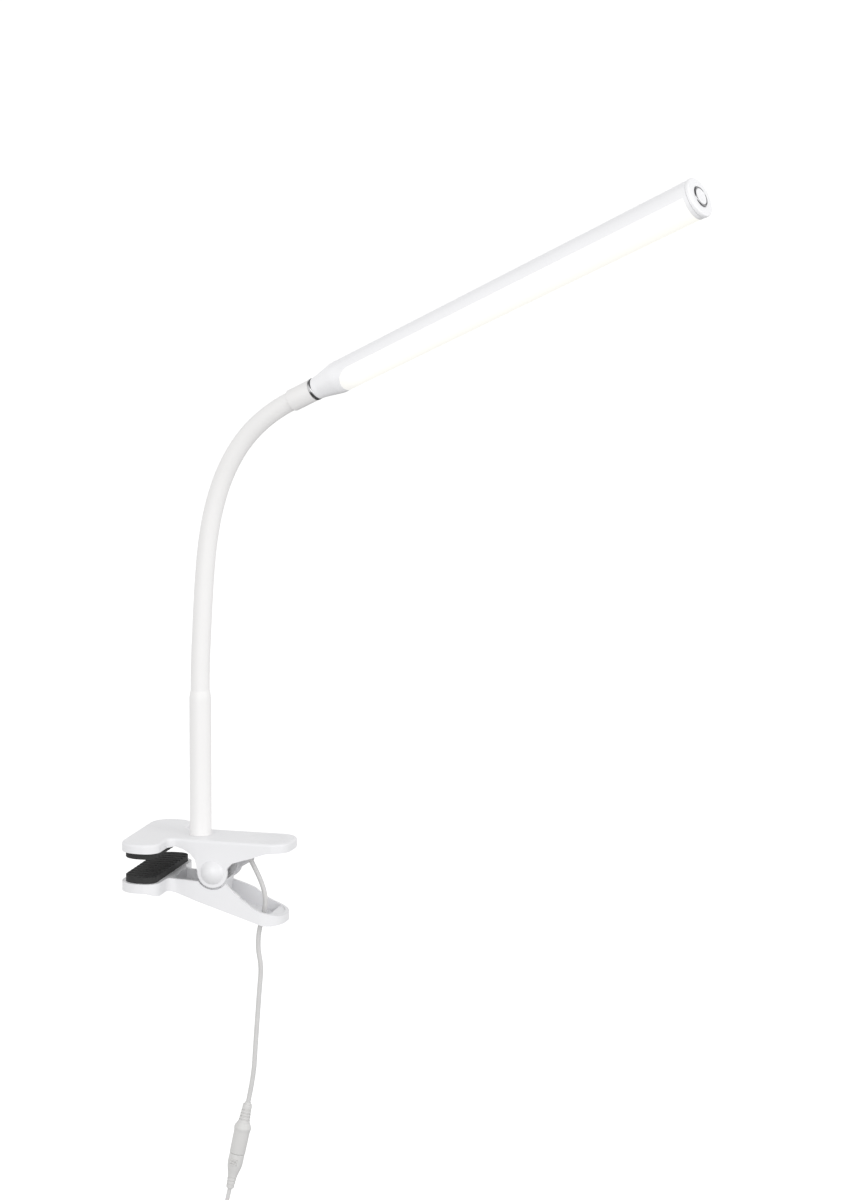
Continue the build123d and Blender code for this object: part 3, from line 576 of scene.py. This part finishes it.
def coil_points():
    """The route of the tied coil, turn after turn. Its points lie outside the curve they draw."""
    draw_in = math.cos(math.pi / TURN_POINTS) ** 2
    for k in range(COLUMN * COLUMN * TURN_POINTS + 1):
        turn, place = divmod(k, TURN_POINTS)
        share = max(0, place - (TURN_POINTS - JOG)) / JOG
        radius, side = (a + (b - a) * share
                        for a, b in zip(winding_place(turn), winding_place(turn + 1)))
        angle = 2 * math.pi * k / TURN_POINTS
        arm = Vector((math.cos(angle), 0, -math.sin(angle))) * (radius / draw_in)
        yield COIL_CENTRE + arm + Vector((0, side, 0))


plug_end = Vector(LAMP_ROUTE[-1]) + DOWN * PLUG_END
turns = list(coil_points())
side_out = COIL_STEP * (COLUMN - 1) / 2
adapter_route = [
    plug_end, plug_end + DOWN * 9, COIL_CENTRE + Vector((COIL_RADII[0] + 0.8, 1 - side_out, 14)),
    *turns,
    COIL_CENTRE + Vector((COIL_RADII[0] + 0.3, side_out, -10)),
    ADAPTER_TOP + Vector((0, 0, 8)), ADAPTER_TOP - Vector((0, 0, 6)),
]
adapter_cord = free_cord("adapter_cord", adapter_route, ADAPTER_LEAD, "cord_white")
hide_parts("adapter_lead_top", "lead_coil", "adapter_lead_tail")


# ---------------------------------------------------------------- clip
eased_copy("upper_jaw_and_handle", "upper_body", "clip_plastic", "clip", 0.45)
eased_copy("lower_jaw_and_handle", "lower_body", "clip_plastic", "lower_clip", 0.45)
eased_copy("upper_jaw_pad", "upper_pad", "pad_rubber", "clip", 0.25)
eased_copy("lower_jaw_pad", "lower_pad", "pad_rubber", "lower_clip", 0.25)
eased_copy("domed_caps", "hinge_caps", "clip_plastic", "clip", 0.2)

turned("rigid_tube", [
    (CLIP_TOP, TUBE_R + 0.35, 0.2), (CLIP_TOP + 0.5, TUBE_R + 0.35, 0.3),
    (CLIP_TOP + 0.7, TUBE_R, 0.2), (TUBE_TOP - 4.2, TUBE_R, 1.6), (TUBE_TOP - 0.4, 5.95, 0.5),
    (TUBE_TOP, 5.75, 0.1), (TUBE_TOP, TUBE_BORE, 0.0), (FOOT_TOP, TUBE_BORE, 0.0),
    (FOOT_TOP, FOOT_BORE, 0.0), (1.0, FOOT_BORE, 0.2), (1.0, FOOT_R, 0.3), (CLIP_TOP, FOOT_R, 0.0),
], TUBE, "tube_paint", "clip", ["lower_tube"])

relief_along = (Vector(LAMP_ROUTE[0]) - Vector(LAMP_ROUTE[1])).normalized()
RELIEF = level_frame(LAMP_ROUTE[0], relief_along)
turned("clip_lead_sleeve", [
    (0, LEAD / 2, 0.0), (0, 1.9, 0.25), (4.2, 2.9, 0.3), (4.2, LEAD / 2, 0.0),
], RELIEF, "cord_white", "clip", ["lead_relief"], steps=48)


# ---------------------------------------------------------------- neck
def neck_sleeve(k):
    """One stretch of the neck's smooth sleeve, curved along its section's set turn."""
    stations, steps = 14, 72
    outside, inside = [], []
    mesh = bmesh.new()
    for station in range(stations + 1):
        share = station / stations
        place = neck_frame(*neck_step(NECK_ENDS[k], SECTION * share, SECTION_TURNS[k] * share))
        for radius, rings in ((SLEEVE_R, outside), (SLEEVE_BORE, inside)):
            rings.append([mesh.verts.new(place @ (Vector((
                radius * math.cos(a), radius * math.sin(a), 0)) * MM))
                for a in (2 * math.pi * j / steps for j in range(steps))])
    loop = outside + inside[::-1]
    for near, far in zip(loop, loop[1:] + loop[:1]):
        for j in range(steps):
            mesh.faces.new((near[j], near[(j + 1) % steps], far[(j + 1) % steps], far[j]))
    piece = settle(f"neck_skin_{k + 1}", mesh, "neck_silicone")
    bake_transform(piece)
    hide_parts(f"neck_sleeve_{k + 1}")


for section in range(len(SECTION_TURNS)):
    neck_sleeve(section)


# ---------------------------------------------------------------- head
turned("neck_end_ferrule", [
    (0, LINK_R, 0.0), (0, 6.2, 0.3), (0.8, FERRULE_R, 0.8), (FERRULE, FERRULE_R, 0.15),
    (FERRULE, LINK_R, 0.0),
], HEAD, "tube_paint", "head", ["neck_ferrule"])
turned("bright_ring", [
    (FERRULE, LINK_R, 0.0), (FERRULE, FERRULE_R - 0.1, 0.1),
    (FERRULE + 0.35, FERRULE_R + 0.22, 0.3), (RING - 0.35, FERRULE_R + 0.22, 0.3),
    (RING, FERRULE_R - 0.1, 0.1), (RING, LINK_R, 0.0),
], HEAD, "chrome", "head", ["chrome_ring"])
turned("head_rear_cone", [
    (RING, LINK_R, 0.0), (RING, FERRULE_R - 0.1, 0.1), (RING + 0.4, FERRULE_R + 0.1, 0.3),
    (RING + 3.2, FERRULE_R + 0.35, 2.0), (CONE_END - 2.6, HEAD_R_REAR - 0.05, 2.4),
    (CONE_END, HEAD_R_REAR, 0.0), (CONE_END, HEAD_R_REAR - SHELL_WALL, 0.0),
    (RING + 4, FERRULE_R - 1.8, 0.0), (RING + 4, LINK_R, 0.0),
], HEAD, "head_white", "head", ["head_cone"])
FROM_HEAD = HEAD.inverted()
eased_copy("head_upper_shell", "head_shell", "head_white", "head", 0.16,
           crisp=lambda spot: (FROM_HEAD @ spot).z < (CONE_END + 0.3) * MM)
eased_copy("glow_window", "diffuser", "diffuser", "head", 0.16)

spigot = HEAD_R_END - SHELL_WALL - 0.35
turned("head_end_cap", [
    (HEAD_END - 7, spigot - 1.6, 0.1), (HEAD_END - 7, spigot, 0.4), (HEAD_END + 0.12, spigot, 0.0),
    (HEAD_END + 0.12, HEAD_R_END - 0.1, 0.1), (HEAD_END + 0.4, HEAD_R_END + 0.2, 0.25),
    (CAP_FACE - 0.1, HEAD_R_END + 0.1, 1.6), (CAP_FACE, BUTTON_RING_R + 0.12, 0.15),
    (CAP_FACE - BUTTON_SEAT, BUTTON_RING_R + 0.05, 0.1),
    (CAP_FACE - BUTTON_SEAT, BUTTON_R - 1.0, 0.1),
    (HEAD_END, BUTTON_R - 1.0, 0.0), (HEAD_END, spigot - 1.6, 0.0),
], HEAD, "head_white", "head", ["end_cap"])
turned("button_trim", [
    (CAP_FACE - BUTTON_SEAT, BUTTON_R + 0.15, 0.0), (CAP_FACE - BUTTON_SEAT, BUTTON_RING_R, 0.0),
    (CAP_FACE + 0.1, BUTTON_RING_R, 0.3), (CAP_FACE + 0.6, BUTTON_RING_R - 0.25, 0.4),
    (CAP_FACE + 0.6, BUTTON_R + 0.4, 0.4), (CAP_FACE + 0.1, BUTTON_R + 0.15, 0.2),
], HEAD, "dark_chrome", "head", ["button_ring"])
turned("push_button", [
    (HEAD_END - 3, 0.0, 0.0), (HEAD_END - 3, BUTTON_STEM_R, 0.2),
    (CAP_FACE - 0.3, BUTTON_STEM_R, 0.0), (CAP_FACE - 0.3, BUTTON_R, 0.2),
    (CAP_FACE + 0.8, BUTTON_R, 0.6), (CAP_FACE + 0.62, 2.6, 1.2), (CAP_FACE + 0.55, 0.0, 0.0),
], HEAD, "head_white", "button", ["button"])


# ---------------------------------------------------------------- plug pair and adapter
def ribbed(start, end, first, last, ribs, depth, width):
    """Corners of a tapering side with ring grooves cut in it."""
    pitch = (end - start) / (ribs + 1)
    corners = []
    for k in range(ribs):
        middle = start + pitch * (k + 1)
        for height, cut in ((middle - width / 2, 0), (middle - width / 2, depth),
                            (middle + width / 2, depth), (middle + width / 2, 0)):
            radius = first + (last - first) * (height - start) / (end - start)
            corners.append((height, radius - cut, 0.16))
    return corners


turned("socket_boot", [
    (0, 0.0, 0.0), (0, 1.85, 0.3), (1.4, 1.95, 0.2), (1.4, 2.75, 0.5),
    *ribbed(2.6, BOOT_END, 2.8, 3.5, 4, 0.6, 0.9), (BOOT_END, 3.6, 0.0), (BOOT_END, 0.0, 0.0),
], PLUG, "plug_white", "clip", ["jack_boot"], steps=64)
turned("socket_shell", [
    (BOOT_END, 3.3, 0.0), (BOOT_END, 3.75, 0.5), (SHOULDER, 5.35, 0.9),
    (SHOULDER + 2.5, 4.85, 0.8), (JACK_END, 4.75, 0.35), (JACK_END, 3.2, 0.2), (22, 3.2, 0.0),
    (22, 1.0, 0.0), (BOOT_END, 1.0, 0.0),
], PLUG, "plug_white", "clip", ["jack_body"], steps=64)
plug_mesh = bmesh.new()
add_turned(plug_mesh, [
    (JACK_END + 0.2, 0.0, 0.0), (JACK_END + 0.2, 4.55, 0.3), (41, GRIP_R, 3.0),
    (PLUG_TAPER, 3.1, 1.2), *ribbed(PLUG_TAPER, PLUG_END, 2.95, 2.35, 3, 0.4, 0.9),
    (PLUG_END, 2.3, 0.5), (PLUG_END, 0.0, 0.0),
], PLUG, 64)
for facing in (-1, 1):
    for bar in range(GRIP_BARS):
        middle = (facing * GRIP_R, 0.0, GRIP_START + GRIP_PITCH * bar)
        add_bar(plug_mesh, PLUG, (0.9, 4.0, 0.6), middle, 0.14)
settle("plug_shell", plug_mesh, "plug_white", "clip", ["plug_body"])

ADAPTER_END = Matrix.Translation(ADAPTER_TOP * MM)
turned("adapter_lead_sleeve", [
    (-11, 0.0, 0.0), (-11, 2.9, 0.0), *ribbed(-8.5, -0.6, 2.7, 2.0, 4, 0.35, 0.8), (0, 1.9, 0.4),
    (0, 0.0, 0.0),
], ADAPTER_END, "cord_white", "clip", ["adapter_relief"], steps=48)
eased_copy("adapter_near_half", "adapter_front", "plug_white", "clip", 0.3)
eased_copy("adapter_far_half", "adapter_back", "plug_white", "clip", 0.3)


# ---------------------------------------------------------------- floor, light and camera
# The room's light as stops of height, from -1 straight below to 1 straight above, and strength.
MATT_LIGHT = [(-1.0, 0.62), (-0.1, 0.70), (0.2, 0.82), (1.0, 0.82)]
MIRRORED_LIGHT = [
    (-1.0, 0.10), (-0.55, 0.12), (-0.2, 0.95), (0.3, 0.95), (0.65, 0.12), (1.0, 0.12),
]
SEEN_LIGHT = 1.05             # behind the object, so that it comes out as plain white
FLOOR_GLOW = 0.32
FLOOR_SIZE = 400.0
LIGHT_AIM = Vector((0.1, 0, 0.1))
CAMERA_SPOT = (732.6, -2199.9, 518.7)
CAMERA_LENS = 117.0


def pale_floor():
    """A white floor just under the object, which the object's own surfaces don't pick up."""
    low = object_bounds()[0]
    mesh = bmesh.new()
    bmesh.ops.create_grid(mesh, x_segments=1, y_segments=1, size=FLOOR_SIZE)
    data = bpy.data.meshes.new("floor")
    mesh.to_mesh(data)
    mesh.free()
    floor = bpy.data.objects.new("floor", data)
    floor.location.z = low[2] - 0.5 * MM
    bpy.context.scene.collection.objects.link(floor)
    material, tree, shader = blank_material("pale_floor")
    shader.inputs["Base Color"].default_value = (0.9, 0.9, 0.9, 1)
    shader.inputs["Roughness"].default_value = 0.9
    shader.inputs["Specular IOR Level"].default_value = 0.0
    shader.inputs["Emission Color"].default_value = (1, 1, 1, 1)
    shader.inputs["Emission Strength"].default_value = FLOOR_GLOW
    data.materials.append(material)
    floor.visible_diffuse = False
    floor.visible_glossy = False
    floor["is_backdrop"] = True


def soft_light(name, spot, size, power):
    """A round lamp of that size and power, turned to the middle of the object."""
    lamp = bpy.data.lights.new(name, "AREA")
    lamp.shape = "DISK"
    lamp.size = size
    lamp.energy = power
    holder = bpy.data.objects.new(name, lamp)
    holder.location = spot
    holder.rotation_euler = (LIGHT_AIM - Vector(spot)).to_track_quat("-Z", "Y").to_euler()
    bpy.context.scene.collection.objects.link(holder)


def level_ramp(tree, share, stops):
    """A strength that follows the stops, where share runs from 0 below to 1 above."""
    ramp = add_node(tree, "ShaderNodeFloatCurve")
    points = ramp.mapping.curves[0].points
    first, *middle, last = [((height + 1) / 2, strength) for height, strength in stops]
    points[0].location, points[1].location = first, last
    for spot in middle:
        points.new(*spot)
    ramp.mapping.update()
    tree.links.new(share, ramp.inputs["Value"])
    return ramp.outputs["Value"]


def white_room():
    """Even light, weaker from below. Glossy surfaces mirror bright walls, dark above and below."""
    world = bpy.data.worlds.new("studio")
    world.use_nodes = True
    tree = world.node_tree
    sky = tree.nodes["Background"]
    sky.inputs["Color"].default_value = (1, 1, 1, 1)
    where = add_node(tree, "ShaderNodeTexCoord")
    part = add_node(tree, "ShaderNodeSeparateXYZ")
    tree.links.new(where.outputs["Generated"], part.inputs["Vector"])
    share = add_node(tree, "ShaderNodeMapRange")
    share.inputs["From Min"].default_value = -1.0
    tree.links.new(part.outputs["Z"], share.inputs["Value"])
    even = level_ramp(tree, share.outputs["Result"], MATT_LIGHT)
    walls = level_ramp(tree, share.outputs["Result"], MIRRORED_LIGHT)
    ray = add_node(tree, "ShaderNodeLightPath")
    mirrored = add_node(tree, "ShaderNodeMix", data_type="FLOAT")
    tree.links.new(ray.outputs["Is Glossy Ray"], mirrored.inputs["Factor"])
    tree.links.new(even, mirrored.inputs["A"])
    tree.links.new(walls, mirrored.inputs["B"])
    seen = add_node(tree, "ShaderNodeMix", data_type="FLOAT")
    seen.inputs["B"].default_value = SEEN_LIGHT
    tree.links.new(ray.outputs["Is Camera Ray"], seen.inputs["Factor"])
    tree.links.new(mirrored.outputs["Result"], seen.inputs["A"])
    tree.links.new(seen.outputs["Result"], sky.inputs["Strength"])
    bpy.context.scene.world = world


pale_floor()
white_room()
soft_light("front", (0.2, -3.0, 0.8), 2.2, 27)
soft_light("side", (2.6, -1.0, 0.9), 1.2, 15)

AZIMUTH, ELEVATION, ROLL = math.radians(14.3), math.radians(9.0), math.radians(0.3)
back = Vector((math.sin(AZIMUTH) * math.cos(ELEVATION), -math.cos(AZIMUTH) * math.cos(ELEVATION),
               math.sin(ELEVATION)))
level = Vector((math.cos(AZIMUTH), math.sin(AZIMUTH), 0))
rise = back.cross(level)
right = level * math.cos(ROLL) + rise * math.sin(ROLL)
up = rise * math.cos(ROLL) - level * math.sin(ROLL)
camera = bpy.data.objects.new("camera", bpy.data.cameras.new("camera"))
camera.data.lens = CAMERA_LENS
camera.data.sensor_width = 36.0
camera.matrix_world = place_at(CAMERA_SPOT, right, up, back)
bpy.context.scene.collection.objects.link(camera)
bpy.context.scene.camera = camera
bpy.context.scene.view_settings.view_transform = "Standard"
